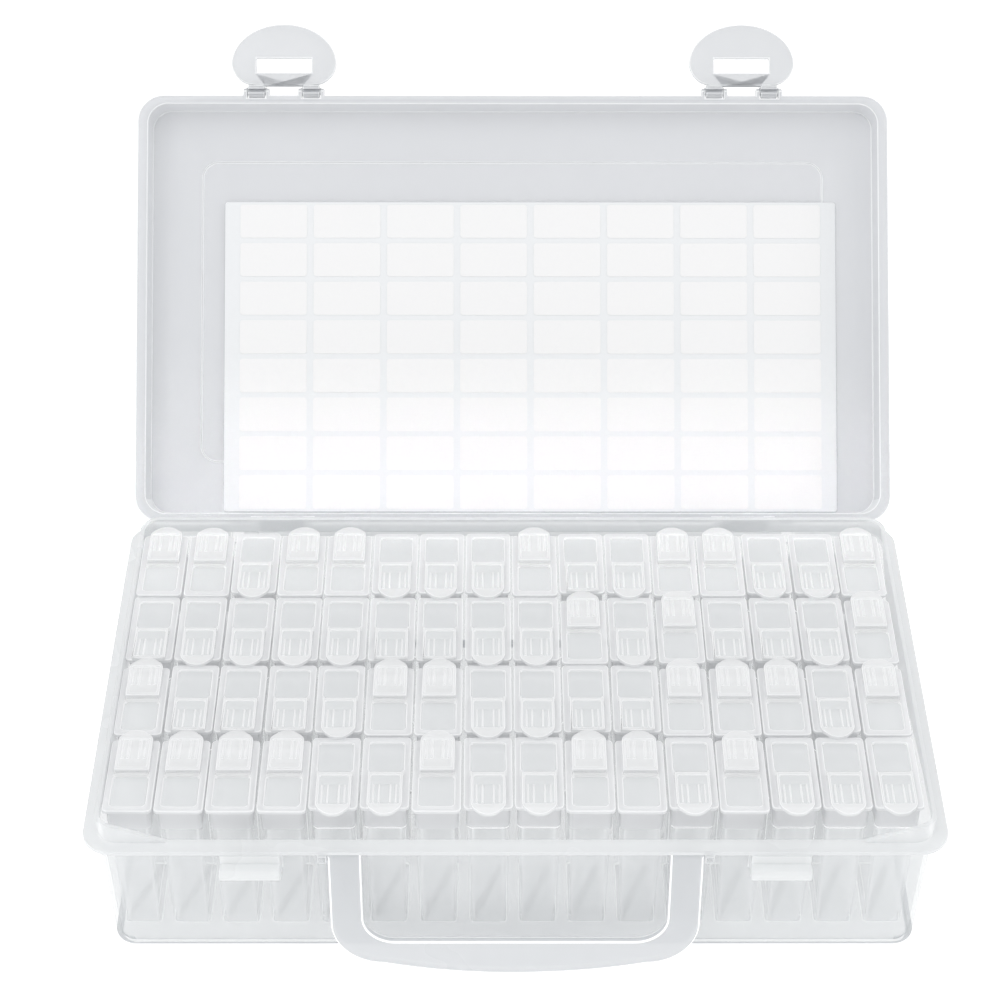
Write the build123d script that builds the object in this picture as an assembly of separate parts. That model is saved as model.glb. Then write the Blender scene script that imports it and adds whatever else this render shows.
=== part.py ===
from build123d import *
from math import cos, radians, sin
import os

os.makedirs("parts", exist_ok=True)

# A storage case of translucent plastic with 64 bead vials, standing open.
# Millimetres. X runs to the right, Y away from the front, Z up.
# The origin is the centre of the case's footprint on the table.

# Vial: a tapering bottle with a neck
vial_columns = 16
vial_rows = 4
bottle_width = 11.4
bottle_length = 22.6
bottle_height = 39.6
bottle_draft = 0.4
bottle_floor = 1.3
shoulder = 0.7
neck_height = 7.2
neck_wall = 0.8
cavity_draft = 0.2

# Vial cap: a skirt round the neck under a wider plate with a pour hole
skirt_fit = 0.1
skirt_wall = 0.8
skirt_gap = 0.2
cap_seat_gap = 0.5
plate_thickness = 1.2
plate_overhang_x = 0.7
plate_overhang_y = 0.95
pour_hole_width = 7.6
pour_hole_start = 3.2
pour_hole_length = 8.0

# Flap: a slab with a tapering thumb tab and a plug under it
flap_width = 10.0
flap_thickness = 1.2
flap_gap = 0.05
flap_hinge_clearance = 0.65
tab_reach = 1.45
tab_taper = 2.6
plug_width = 5.6
plug_start_gap = 1.4
plug_length = 5.6
plug_depth = 1.3

# How the vials stand in the case
column_gap = 0.5
row_gap = 3.2
vial_floor_gap = 0.1
gap_left = 0.25
gap_right = 1.45
gap_front_rear = 6.6

# Which way each flap faces: F has its tab to the front and R to the rear
flap_sides = (
    "RRFRRFFFRFFRRFFR",
    "FFFFFFFFFRFRFFFR",
    "RFFFFRRFFFFRRRFR",
    "RRRRFFRFFRRFRFFF",
)

# Case base
case_wall = 1.3
case_floor = 1.5
case_corner_radius = 6.0
case_edge_bevel = 1.4
draft_side = 1.0
draft_front = 2.2
rim_below_vial_tops = 6.35
lip_height = 6.0
front_cut_bottom = 184.0
front_cut_top = 212.0

# Flange round the base and the lid
flange_reach_x = 3.5
flange_reach_y = 3.0
flange_thickness = 1.4
flange_corner_radius = 8.0
flange_gap = 0.05

# Lid
lid_fit = 0.3
lid_wall = 1.3
lid_top_thickness = 1.2
lid_top_bevel = 1.4
lid_draft = 0.25
lid_open_angle = 133.4
head_room = 2.8
panel_margin_x = 16.5
panel_margin_y = 17.0
panel_radius = 5.5
panel_rise = 0.5

# Label sheet lying in the lid, with a grid of labels
sheet_width = 189.0
sheet_length = 96.0
sheet_thickness = 0.4
sheet_gap = 0.1
sheet_shift = 5.5
sheet_foot_gap = 0.6
label_columns = 8
label_rows = 8
label_width = 20.7
label_length = 10.4
label_thickness = 0.15
label_gap_x = 2.0
label_gap_y = 1.6

# Rods and the bores round them have this many flat sides
rod_sides = 12

# Rear hinge: clips on the lid round rods on the base
hinge_spacing = 140.0
hinge_rod_radius = 1.1
hinge_running_gap = 0.05
hinge_ring_wall = 1.05
hinge_behind_flange = 0.9
hinge_below_rim = 0.7
hinge_ear_thickness = 2.0
hinge_ring_width = 13.2
hinge_side_gap = 0.4
hinge_notch_depth = 3.0
hinge_mouth = 1.7
stop_width = 4.0
stop_gap = 0.05
stop_length = 1.3
stop_crook = 0.35
stop_thickness = 1.3
stop_gusset_drop = 0.6

# Latches
latch_spacing = 140.6
latch_width = 32.2
latch_thickness = 1.8
latch_body_start = 2.0
latch_length = 20.7
latch_shoulder = 6.4
latch_corner_radius = 7.0
latch_leg_spacing = 16.8
latch_leg_width = 5.1
latch_rod_radius = 0.95
latch_running_gap = 0.05
latch_ring_wall = 0.85
latch_ahead_of_flange = 1.4
latch_above_rim = 1.6
latch_inner_offset = 1.0
latch_mouth = 1.5
latch_lug_thickness = 1.2
latch_lug_gap = 0.3
latch_notch_clearance = 0.3
slot_width = 16.9
slot_start = 5.7
slot_length = 4.6

# Catches under the front flange
catch_height = 8.4
catch_side_gap = 0.45
catch_clearance = 0.3
catch_slot_gap = 0.5
catch_reach = 1.2
catch_wall = 1.3
catch_bevel = 0.8

# Carrying handle
handle_width = 99.4
handle_strip = 8.7
handle_thickness = 2.2
handle_grip_end = 7.7
handle_grip_bow = 3.8
handle_outer_radius = 14.0
handle_inner_radius = 8.5
handle_foot_gap = 0.6
handle_rest_angle = 7.5
handle_pin_radius = 1.0
handle_pin_length = 2.6
handle_running_gap = 0.06
handle_top_gap = 0.3
handle_wall_gap = 0.8
handle_lug_gap = 0.3
handle_lug_thickness = 2.45
handle_lug_wall = 1.0

# Heights that follow from the sizes above
bottle_foot_z = case_floor + vial_floor_gap
shoulder_z = bottle_foot_z + bottle_height
neck_top_z = shoulder_z + neck_height
plate_bottom_z = neck_top_z + cap_seat_gap
plate_top_z = plate_bottom_z + plate_thickness
flap_bottom_z = plate_top_z + flap_gap
flap_top_z = flap_bottom_z + flap_thickness
flap_axis_z = flap_bottom_z + flap_thickness / 2
rim_z = flap_top_z - rim_below_vial_tops
lip_z = rim_z + lip_height
flange_bottom_z = rim_z - flange_thickness
labels_bottom_z = flap_top_z + head_room
sheet_bottom_z = labels_bottom_z + label_thickness
ceiling_z = sheet_bottom_z + sheet_thickness + sheet_gap
lid_top_z = ceiling_z + lid_top_thickness

# Plan sizes of the vials, nested from the inside out
neck_width = bottle_width - 2 * shoulder
neck_length = bottle_length - 2 * shoulder
skirt_inner_width = neck_width + 2 * skirt_fit
skirt_inner_length = neck_length + 2 * skirt_fit
skirt_width = skirt_inner_width + 2 * skirt_wall
skirt_length = skirt_inner_length + 2 * skirt_wall
plate_width = skirt_width + 2 * plate_overhang_x
plate_length = skirt_length + 2 * plate_overhang_y
column_pitch = plate_width + column_gap
row_pitch = plate_length + row_gap
grid_shift = (gap_left - gap_right) / 2

# Plan sizes of the case, built round the vials
lip_inner_width = (vial_columns - 1) * column_pitch + plate_width + gap_left + gap_right
lip_inner_depth = (vial_rows - 1) * row_pitch + plate_length + 2 * gap_front_rear
lip_width = lip_inner_width + 2 * case_wall
lip_depth = lip_inner_depth + 2 * case_wall
foot_width = lip_width - 2 * draft_side
foot_depth = lip_depth - 2 * draft_front
flange_width = lip_width + 2 * flange_reach_x
flange_depth = lip_depth + 2 * flange_reach_y
lid_inner_width = lip_width + 2 * lid_fit
lid_inner_depth = lip_depth + 2 * lid_fit
lid_wall_width = lid_inner_width + 2 * lid_wall
lid_wall_depth = lid_inner_depth + 2 * lid_wall

# Axes of the joints, as distances along Y and heights
lid_axis_y = flange_depth / 2 + hinge_behind_flange
lid_axis_z = rim_z - hinge_below_rim
latch_axis_y = -(flange_depth / 2 + latch_ahead_of_flange)
latch_axis_z = rim_z + latch_above_rim
handle_axis_z = flange_bottom_z - handle_top_gap - handle_thickness / 2


def wall_depth_at(z):
    """Outer depth of the case base at a height."""
    return foot_depth + (lip_depth - foot_depth) * z / lip_z


handle_axis_y = -(wall_depth_at(handle_axis_z) / 2 + handle_wall_gap + handle_thickness / 2)
lid_axis = Axis((0, lid_axis_y, lid_axis_z), (1, 0, 0))


def block(x, y, z):
    """Box between two limits on each axis."""
    corner = Align.MIN
    box = Box(x[1] - x[0], y[1] - y[0], z[1] - z[0], align=(corner, corner, corner))
    return Pos(x[0], y[0], z[0]) * box


def across(profile, x, y, z):
    """Solid between two limits in X with a flat profile round a point (y, z)."""
    return extrude(Plane((x[0], y, z), x_dir=(0, 1, 0), z_dir=(1, 0, 0)) * profile, x[1] - x[0])


def rod(radius, x, y, z):
    """Rod along X between two limits, inside a circle of the radius."""
    return across(RegularPolygon(radius, rod_sides), x, y, z)


def bore_outline(radius):
    """Outline of a bore that a circle of the radius fits in."""
    return RegularPolygon(radius, rod_sides, major_radius=False)


def side_profile(points, x):
    """Solid with a polygon of (y, z) points as its profile, between two limits in X."""
    profile = Plane((x[0], 0, 0), x_dir=(0, 1, 0), z_dir=(1, 0, 0)) * Polygon(*points, align=None)
    return extrude(profile, x[1] - x[0], dir=(1, 0, 0))


def rounded_slab(width, depth, radius, z):
    """Rounded rectangle in plan, between two heights."""
    return extrude(Pos(0, 0, z[0]) * RectangleRounded(width, depth, radius), z[1] - z[0])


def tapered_block(width, length, draft, z):
    """Block that widens upwards by the draft on each side, given its size at the upper height."""
    wedge = Wedge(width, z[1] - z[0], length, draft, draft, width - draft, length - draft)
    return Pos(0, 0, (z[0] + z[1]) / 2) * Rot(-90, 0, 0) * wedge


def octagon(radius):
    """Eight-sided outline round a circle."""
    return RegularPolygon(radius, 8, major_radius=False, rotation=22.5)


def mirrored_pair(shape):
    """A shape and its twin on the other side of the case."""
    return [shape, mirror(shape, Plane.YZ)]


def join(first, others):
    """One shape from a first one and a list of others."""
    for other in others:
        first = first + other
    return first


# Vials

def bottle():
    """Open bottle that widens a little upwards, with a neck for its cap."""
    body = tapered_block(bottle_width, bottle_length, bottle_draft, (bottle_foot_z, shoulder_z))
    neck = block(
        (-neck_width / 2, neck_width / 2),
        (-neck_length / 2, neck_length / 2),
        (shoulder_z, neck_top_z),
    )
    cavity = tapered_block(
        neck_width - 2 * neck_wall,
        neck_length - 2 * neck_wall,
        cavity_draft,
        (bottle_foot_z + bottle_floor, neck_top_z),
    )
    return body + neck - cavity


def cap():
    """Cap with its pour hole on the front half."""
    skirt = block(
        (-skirt_width / 2, skirt_width / 2),
        (-skirt_length / 2, skirt_length / 2),
        (shoulder_z + skirt_gap, plate_bottom_z),
    )
    inside = block(
        (-skirt_inner_width / 2, skirt_inner_width / 2),
        (-skirt_inner_length / 2, skirt_inner_length / 2),
        (shoulder_z, plate_bottom_z),
    )
    plate = block(
        (-plate_width / 2, plate_width / 2),
        (-plate_length / 2, plate_length / 2),
        (plate_bottom_z, plate_top_z),
    )
    pour_hole = block(
        (-pour_hole_width / 2, pour_hole_width / 2),
        (-pour_hole_start - pour_hole_length, -pour_hole_start),
        (plate_bottom_z, plate_top_z),
    )
    return plate + skirt - inside - pour_hole


def flap():
    """Closed flap with its tab to the front."""
    root = -flap_hinge_clearance
    edge = -plate_length / 2
    half = flap_width / 2
    outline = Polygon(
        (-half, root),
        (-half, edge),
        (-half + tab_taper, edge - tab_reach),
        (half - tab_taper, edge - tab_reach),
        (half, edge),
        (half, root),
        align=None,
    )
    slab = extrude(Pos(0, 0, flap_bottom_z) * outline, flap_thickness)
    plug_end = -pour_hole_start - plug_start_gap
    plug = block(
        (-plug_width / 2, plug_width / 2),
        (plug_end - plug_length, plug_end),
        (flap_bottom_z - plug_depth, flap_bottom_z),
    )
    return slab + plug


def column_x(column):
    return grid_shift + (column - (vial_columns - 1) / 2) * column_pitch


def row_y(row):
    """Row 0 is the rear one."""
    return ((vial_rows - 1) / 2 - row) * row_pitch


def facing(shape, side):
    """Turns a front-facing cap or flap round for a vial that faces the rear."""
    return shape if side == "F" else shape.rotate(Axis.Z, 180)


def write_vial_rows():
    bottle_solid = bottle()
    caps = {side: facing(cap(), side) for side in "FR"}
    flaps = {side: facing(flap(), side) for side in "FR"}
    for row in range(vial_rows):
        name = f"row_{row + 1}"
        places = [Pos(column_x(column), row_y(row), 0) for column in range(vial_columns)]
        sides = [flap_sides[row][column] for column in range(vial_columns)]
        write(f"bottles_{name}", [place * bottle_solid for place in places])
        write(f"caps_{name}", [place * caps[side] for place, side in zip(places, sides)])
        for side, word in (("F", "front"), ("R", "rear")):
            turned = [place * flaps[side] for place, own in zip(places, sides) if own == side]
            write(f"flaps_{word}_{name}", turned)


# Case base

def case_outline(z, inset):
    """Rounded outline of the tapered case at a height, drawn in from the outer face."""
    width = foot_width + (lip_width - foot_width) * z / lip_z - 2 * inset
    depth = wall_depth_at(z) - 2 * inset
    return Pos(0, 0, z) * RectangleRounded(width, depth, case_corner_radius - inset)


def base_shell():
    """Tapered open box with its flange, and its lip cut down along the front."""
    bevel = case_edge_bevel
    outer = loft([case_outline(0, bevel), case_outline(bevel, 0), case_outline(lip_z, 0)], ruled=True)
    flange = rounded_slab(flange_width, flange_depth, flange_corner_radius, (flange_bottom_z, rim_z))
    inside = loft([case_outline(case_floor, case_wall), case_outline(lip_z, case_wall)], ruled=True)
    slope = (front_cut_top - front_cut_bottom) / 2 / lip_height
    above = lip_height + 1
    front_cut = Polygon(
        (-front_cut_bottom / 2, 0),
        (front_cut_bottom / 2, 0),
        (front_cut_bottom / 2 + slope * above, above),
        (-front_cut_bottom / 2 - slope * above, above),
        align=None,
    )
    cut_plane = Plane((0, -flange_depth / 2, rim_z), x_dir=(1, 0, 0), z_dir=(0, -1, 0))
    cutter = extrude(cut_plane * front_cut, flange_depth / 4, dir=(0, 1, 0))
    return outer + flange - inside - cutter


def catch():
    """Hooked catch under the front flange that the latch's slot goes over, at X = 0."""
    half = slot_width / 2 - catch_side_gap
    face = latch_axis_y + latch_inner_offset + catch_clearance
    tip = latch_axis_y + latch_inner_offset - latch_thickness - catch_reach
    bottom = flange_bottom_z - catch_height
    hook_top = latch_axis_z - slot_start - catch_slot_gap
    hook_bottom = latch_axis_z - slot_start - slot_length + catch_slot_gap
    inside_wall = -wall_depth_at(bottom) / 2 + case_wall / 2
    hollow_back = -wall_depth_at(flange_bottom_z) / 2
    housing = block((-half, half), (face, inside_wall), (bottom, flange_bottom_z))
    hollow = block(
        (-half + catch_wall, half - catch_wall),
        (face + catch_wall, hollow_back),
        (bottom, flange_bottom_z),
    )
    hook = side_profile(
        [
            (face, hook_bottom),
            (face, hook_top),
            (tip + catch_bevel, hook_top),
            (tip, hook_top - catch_bevel),
            (tip, hook_bottom + catch_bevel),
            (tip + catch_bevel, hook_bottom),
        ],
        (-half, half),
    )
    return housing - hollow + hook


def handle_lug():
    """Lug on the right-hand side with the hole for the handle's pin."""
    start = handle_width / 2 + handle_lug_gap
    end = start + handle_lug_thickness
    hole_radius = handle_pin_radius + handle_running_gap
    reach = hole_radius + handle_lug_wall
    inside_wall = -wall_depth_at(handle_axis_z) / 2 + case_wall / 2
    front = handle_axis_y - reach
    bottom = handle_axis_z - reach
    bevel = handle_lug_wall
    lug = side_profile(
        [
            (inside_wall, flange_bottom_z),
            (front, flange_bottom_z),
            (front, bottom + bevel),
            (front + bevel, bottom),
            (inside_wall, bottom),
        ],
        (start, end),
    )
    return lug - across(bore_outline(hole_radius), (start, end), handle_axis_y, handle_axis_z)


def hinge_rod_mount():
    """Two ears and the rod between them at the flange's rear edge, at X = 0."""
    radius = hinge_rod_radius + hinge_running_gap + hinge_ring_wall
    inner = hinge_ring_width / 2 + hinge_side_gap
    outer = inner + hinge_ear_thickness
    left = across(octagon(radius), (-outer, -inner), lid_axis_y, lid_axis_z)
    right = across(octagon(radius), (inner, outer), lid_axis_y, lid_axis_z)
    return left + right + rod(hinge_rod_radius, (-inner, inner), lid_axis_y, lid_axis_z)


def hinge_notch():
    """Room in the base's rear flange for the lid's clip, at X = 0."""
    half = hinge_ring_width / 2 + hinge_side_gap
    back = flange_depth / 2
    return block((-half, half), (back - hinge_notch_depth, back + 1), (flange_bottom_z - 1, rim_z + 1))


def open_point(along, outward):
    """Point (y, z) on the open lid, along it from the hinge axis and out from that axis."""
    angle = radians(lid_open_angle)
    y = lid_axis_y - along * cos(angle) + outward * sin(angle)
    z = lid_axis_z + along * sin(angle) + outward * cos(angle)
    return (y, z)


def lid_stop():
    """Finger behind the flange that the open lid's outer face leans on, at X = 0."""
    face = hinge_below_rim + flange_gap + flange_thickness + stop_gap
    crook = open_point(hinge_behind_flange - stop_crook, face)
    toe_high = open_point(hinge_behind_flange + stop_length, face)
    toe_back = open_point(hinge_behind_flange + stop_length, face + stop_thickness)
    foot_back = open_point(hinge_behind_flange - stop_crook - stop_thickness, face + stop_thickness)
    wall_line = wall_depth_at(flange_bottom_z) / 2 - case_wall / 2
    gusset_y = flange_depth / 2
    return side_profile(
        [
            (wall_line, flange_bottom_z),
            (gusset_y, flange_bottom_z),
            (gusset_y, crook[1]),
            crook,
            toe_high,
            toe_back,
            foot_back,
            (wall_line, foot_back[1] - stop_gusset_drop),
        ],
        (-stop_width / 2, stop_width / 2),
    )


def case_base():
    """The whole lower moulding."""
    shell = base_shell()
    hinge_x = hinge_spacing / 2
    stop_x = hinge_x + hinge_ring_width / 2 + 2 * hinge_side_gap + hinge_ear_thickness + stop_width
    for side in (-1, 1):
        shell = shell - Pos(side * hinge_x, 0, 0) * hinge_notch()
    additions = []
    for side in (-1, 1):
        additions.append(Pos(side * hinge_x, 0, 0) * hinge_rod_mount())
        additions.append(Pos(side * stop_x, 0, 0) * lid_stop())
        additions.append(Pos(side * latch_spacing / 2, 0, 0) * catch())
    additions += mirrored_pair(handle_lug())
    return join(shell, additions)


# Lid, modelled closed and then turned open

def clip(rod_radius, gap, wall, mouth, web):
    """Profile of an open ring that snaps on a rod, joined to a web, with its mouth down."""
    bore = rod_radius + gap
    opening = Pos(0, -bore - wall / 2) * Rectangle(mouth, 2 * bore + wall)
    return octagon(bore + wall) + web - bore_outline(bore) - opening


def rectangle_between(x, y):
    """Rectangle between two limits on each axis of its plane."""
    return Pos((x[0] + x[1]) / 2, (y[0] + y[1]) / 2) * Rectangle(x[1] - x[0], y[1] - y[0])


def lid_outline(z, inset):
    """Rounded outline of the lid's tray, which narrows towards its top."""
    height = z - (rim_z + flange_gap)
    taper = lid_draft * height / (lid_top_z - rim_z)
    width = lid_wall_width - 2 * (inset + taper)
    depth = lid_wall_depth - 2 * (inset + taper)
    return Pos(0, 0, z) * RectangleRounded(width, depth, case_corner_radius + lid_wall - inset)


def lid_tray():
    """Shallow tray with a flange and a raised panel, before its hinges and lugs."""
    bottom = rim_z + flange_gap
    bevel = lid_top_bevel
    outer = loft(
        [lid_outline(bottom, 0), lid_outline(lid_top_z - bevel, 0), lid_outline(lid_top_z, bevel)],
        ruled=True,
    )
    inside = loft([lid_outline(bottom, lid_wall), lid_outline(ceiling_z, lid_wall)], ruled=True)
    flange = rounded_slab(
        flange_width, flange_depth, flange_corner_radius, (bottom, bottom + flange_thickness)
    )
    panel_width = lid_wall_width - 2 * panel_margin_x
    panel_depth = lid_wall_depth - 2 * panel_margin_y
    panel = rounded_slab(panel_width, panel_depth, panel_radius, (lid_top_z, lid_top_z + panel_rise))
    return outer + flange - inside + panel


def lid_hinge_clip():
    """Clip and web that hang the lid on one of the base's rods, at X = 0."""
    half = hinge_ring_width / 2
    web_start = lid_inner_depth / 2 + lid_wall / 2 - lid_axis_y
    web_bottom = rim_z + flange_gap - lid_axis_z
    web = rectangle_between((web_start, 0), (web_bottom, web_bottom + flange_thickness))
    profile = clip(hinge_rod_radius, hinge_running_gap, hinge_ring_wall, hinge_mouth, web)
    return across(profile, (-half, half), lid_axis_y, lid_axis_z)


def lid_hinge_notch():
    """Room in the lid's flange for the base's ears, at X = 0."""
    half = hinge_ring_width / 2 + 2 * hinge_side_gap + hinge_ear_thickness
    wall = lid_wall_depth / 2
    return block((-half, half), (wall, flange_depth / 2 + 1), (rim_z, rim_z + 3 * flange_thickness))


def latch_leg_x(side):
    return side * latch_leg_spacing / 2


def latch_lugs():
    """Lugs and rods at the lid's front edge that carry one latch, at X = 0."""
    bottom = rim_z + flange_gap
    top = latch_axis_z + latch_rod_radius
    front = latch_axis_y - latch_rod_radius
    bevel = latch_rod_radius / 2
    lug_profile = [
        (-lid_wall_depth / 2, bottom),
        (latch_axis_y, bottom),
        (front, latch_axis_z - bevel),
        (front, latch_axis_z + bevel),
        (front + bevel, top),
        (latch_axis_y + bevel, top),
        (-lid_wall_depth / 2, bottom + flange_thickness),
    ]
    half_leg = latch_leg_width / 2 + latch_lug_gap
    pieces = []
    for side in (-1, 1):
        x = latch_leg_x(side)
        pieces.append(side_profile(lug_profile, (x - half_leg - latch_lug_thickness, x - half_leg)))
        pieces.append(side_profile(lug_profile, (x + half_leg, x + half_leg + latch_lug_thickness)))
        pieces.append(rod(latch_rod_radius, (x - half_leg, x + half_leg), latch_axis_y, latch_axis_z))
    return pieces


def latch_notches():
    """Room in the lid's front flange for one latch's two legs, at X = 0."""
    half = latch_leg_width / 2 + latch_lug_gap
    ring = latch_rod_radius + latch_running_gap + latch_ring_wall
    back = latch_axis_y + ring / cos(radians(22.5)) + latch_notch_clearance
    return [
        block(
            (latch_leg_x(side) - half, latch_leg_x(side) + half),
            (latch_axis_y, back),
            (rim_z, rim_z + 2 * flange_thickness),
        )
        for side in (-1, 1)
    ]


def opened(shape):
    """Turns a piece of the closed lid to where it rests open."""
    return shape.rotate(lid_axis, -lid_open_angle)


def case_lid():
    """The whole upper moulding, standing open."""
    lid = lid_tray()
    for side in (-1, 1):
        hinge_place = Pos(side * hinge_spacing / 2, 0, 0)
        latch_place = Pos(side * latch_spacing / 2, 0, 0)
        lid = lid - hinge_place * lid_hinge_notch()
        for notch in latch_notches():
            lid = lid - latch_place * notch
        lid = lid + hinge_place * lid_hinge_clip()
        lid = join(lid, [latch_place * piece for piece in latch_lugs()])
    return opened(lid)


# Latches, modelled flat with the closed lid and then turned open with it

def latch():
    """Dome-shaped latch with a slot and two clip legs, at X = 0."""
    half = latch_width / 2
    start = latch_axis_y - latch_body_start
    widest = start - latch_shoulder
    tip = latch_axis_y - latch_length
    radius = latch_corner_radius
    outline = make_face(
        [
            Line((-half + radius, start), (half - radius, start)),
            RadiusArc((half - radius, start), (half, widest), radius),
            EllipticalCenterArc((0, widest), half, widest - tip, start_angle=180, arc_size=180),
            RadiusArc((-half, widest), (-half + radius, start), radius),
        ]
    )
    underside = latch_axis_z - latch_inner_offset
    body = extrude(Pos(0, 0, underside) * outline, latch_thickness)
    slot = block(
        (-slot_width / 2, slot_width / 2),
        (latch_axis_y - slot_start - slot_length, latch_axis_y - slot_start),
        (underside, underside + latch_thickness),
    )
    leg = rectangle_between((-latch_body_start, 0), (-latch_inner_offset, latch_thickness - latch_inner_offset))
    profile = clip(latch_rod_radius, latch_running_gap, latch_ring_wall, latch_mouth, leg)
    legs = [
        across(
            profile,
            (latch_leg_x(side) - latch_leg_width / 2, latch_leg_x(side) + latch_leg_width / 2),
            latch_axis_y,
            latch_axis_z,
        )
        for side in (-1, 1)
    ]
    return join(body - slot, legs)


# Handle, modelled hanging straight down and then tilted out

def handle():
    """Flat bail with a bowed grip and two pins."""
    top = handle_axis_z
    bottom = handle_foot_gap
    half = handle_width / 2
    inner_half = half - handle_strip
    grip_top = bottom + handle_grip_bow + handle_grip_end
    outer_low = bottom + handle_grip_bow
    bow_half = half - handle_outer_radius
    outline = make_face(
        [
            Line((-half, top), (-inner_half, top)),
            Line((-inner_half, top), (-inner_half, grip_top + handle_inner_radius)),
            RadiusArc(
                (-inner_half, grip_top + handle_inner_radius),
                (-inner_half + handle_inner_radius, grip_top),
                -handle_inner_radius,
            ),
            Line(
                (-inner_half + handle_inner_radius, grip_top),
                (inner_half - handle_inner_radius, grip_top),
            ),
            RadiusArc(
                (inner_half - handle_inner_radius, grip_top),
                (inner_half, grip_top + handle_inner_radius),
                -handle_inner_radius,
            ),
            Line((inner_half, grip_top + handle_inner_radius), (inner_half, top)),
            Line((inner_half, top), (half, top)),
            Line((half, top), (half, outer_low + handle_outer_radius)),
            RadiusArc(
                (half, outer_low + handle_outer_radius),
                (bow_half, outer_low),
                handle_outer_radius,
            ),
            ThreePointArc((bow_half, outer_low), (0, bottom), (-bow_half, outer_low)),
            RadiusArc(
                (-bow_half, outer_low),
                (-half, outer_low + handle_outer_radius),
                handle_outer_radius,
            ),
            Line((-half, outer_low + handle_outer_radius), (-half, top)),
        ]
    )
    face_plane = Plane((0, handle_axis_y, 0), x_dir=(1, 0, 0), z_dir=(0, -1, 0))
    bail = extrude(face_plane * outline, handle_thickness / 2, both=True)
    radius = handle_thickness / 2
    arm_end = side_profile(
        [
            (handle_axis_y - radius, top),
            (handle_axis_y + radius, top),
            (handle_axis_y + radius / 2, top + radius),
            (handle_axis_y - radius / 2, top + radius),
        ],
        (inner_half, half),
    )
    pin = rod(handle_pin_radius, (half, half + handle_pin_length), handle_axis_y, top)
    ends = [arm_end, pin]
    for end in ends:
        bail = join(bail, mirrored_pair(end))
    return bail.rotate(Axis((0, handle_axis_y, handle_axis_z), (1, 0, 0)), -handle_rest_angle)


# Label sheet and labels, laid under the closed lid's ceiling and then turned open with it

def sheet_centre_y():
    rear_wall = lid_inner_depth / 2 - lid_draft
    return rear_wall - sheet_foot_gap - sheet_length / 2


def label_sheet():
    return block(
        (sheet_shift - sheet_width / 2, sheet_shift + sheet_width / 2),
        (sheet_centre_y() - sheet_length / 2, sheet_centre_y() + sheet_length / 2),
        (sheet_bottom_z, sheet_bottom_z + sheet_thickness),
    )


def labels():
    pitch_x = label_width + label_gap_x
    pitch_y = label_length + label_gap_y
    centre = Pos(sheet_shift, sheet_centre_y(), labels_bottom_z + label_thickness / 2)
    grid = GridLocations(pitch_x, pitch_y, label_columns, label_rows)
    return [centre * place * Box(label_width, label_length, label_thickness) for place in grid]


# Files

def write(name, solids):
    """Writes one piece, or a group of like pieces, to its own file."""
    if not isinstance(solids, list):
        solids = [solids]
    parts = [solid for shape in solids for solid in shape.solids()]
    export_step(parts[0] if len(parts) == 1 else Compound(children=parts), f"parts/{name}.step")


write("case_base", case_base())
write("case_lid", case_lid())
left_latch = opened(Pos(-latch_spacing / 2, 0, 0) * latch())
write("latch_left", left_latch)
write("latch_right", mirror(left_latch, Plane.YZ))
write("handle", handle())
write("label_sheet", opened(label_sheet()))
write("labels", [opened(label) for label in labels()])
write_vial_rows()
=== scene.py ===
import math
import random

import bmesh
import bpy
from mathutils import Euler, Matrix, Vector


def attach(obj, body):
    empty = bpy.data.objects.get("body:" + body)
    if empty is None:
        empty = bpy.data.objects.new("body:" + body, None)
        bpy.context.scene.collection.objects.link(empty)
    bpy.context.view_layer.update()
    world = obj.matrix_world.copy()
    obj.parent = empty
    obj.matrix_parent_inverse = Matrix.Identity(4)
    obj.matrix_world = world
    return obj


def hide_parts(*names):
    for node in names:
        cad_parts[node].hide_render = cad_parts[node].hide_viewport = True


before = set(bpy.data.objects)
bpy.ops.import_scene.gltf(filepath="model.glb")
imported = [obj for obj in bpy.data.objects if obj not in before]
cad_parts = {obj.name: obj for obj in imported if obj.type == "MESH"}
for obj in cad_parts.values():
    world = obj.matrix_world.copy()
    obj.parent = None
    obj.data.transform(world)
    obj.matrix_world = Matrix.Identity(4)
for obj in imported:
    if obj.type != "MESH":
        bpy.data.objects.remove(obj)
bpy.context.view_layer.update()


# Camera
# A long lens in front of the open case and well above it, looking down at about 41 degrees.
# The place, turn and focal length come from the case's own straight edges in the photograph.

CAMERA_PLACE = (-0.00626, -0.50101, 0.53964)
CAMERA_PITCH = math.radians(40.56)
CAMERA_YAW = math.radians(0.25)
CAMERA_ROLL = math.radians(0.185)
FILM_WIDTH = 36.0
FOCAL_LENGTH = 89.12
NEAREST = 0.01
FARTHEST = 50.0

bpy.ops.object.camera_add()
camera = bpy.context.object
camera.data.sensor_width = FILM_WIDTH
camera.data.lens = FOCAL_LENGTH
camera.data.clip_start = NEAREST
camera.data.clip_end = FARTHEST
facing = Euler((math.pi / 2 - CAMERA_PITCH, 0.0, -CAMERA_YAW)).to_matrix().to_4x4()
tilt = Matrix.Rotation(CAMERA_ROLL, 4, "Z")
camera.matrix_world = Matrix.Translation(CAMERA_PLACE) @ facing @ tilt
bpy.context.scene.camera = camera


# Floor and light
# A seamless white light table, as clear plastic is shown on, with even light from all round, two
# softboxes whose light adds to the painted highlights along the edges, and a faint strip lamp on
# the lid's sheet.

TABLE_SIZE = 6.0
TABLE_TOP = -0.0002
TABLE_GLOW = 0.62
ROOM_LIGHT = 0.84
CLEAR_SKINS_IN_LINE = 12


def linear(hex_code):
    """Linear colour of an sRGB hex value."""
    channels = [int(hex_code[i:i + 2], 16) / 255 for i in (1, 3, 5)]
    curve = [c / 12.92 if c <= 0.04045 else ((c + 0.055) / 1.055) ** 2.4 for c in channels]
    return (*curve, 1.0)


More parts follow.
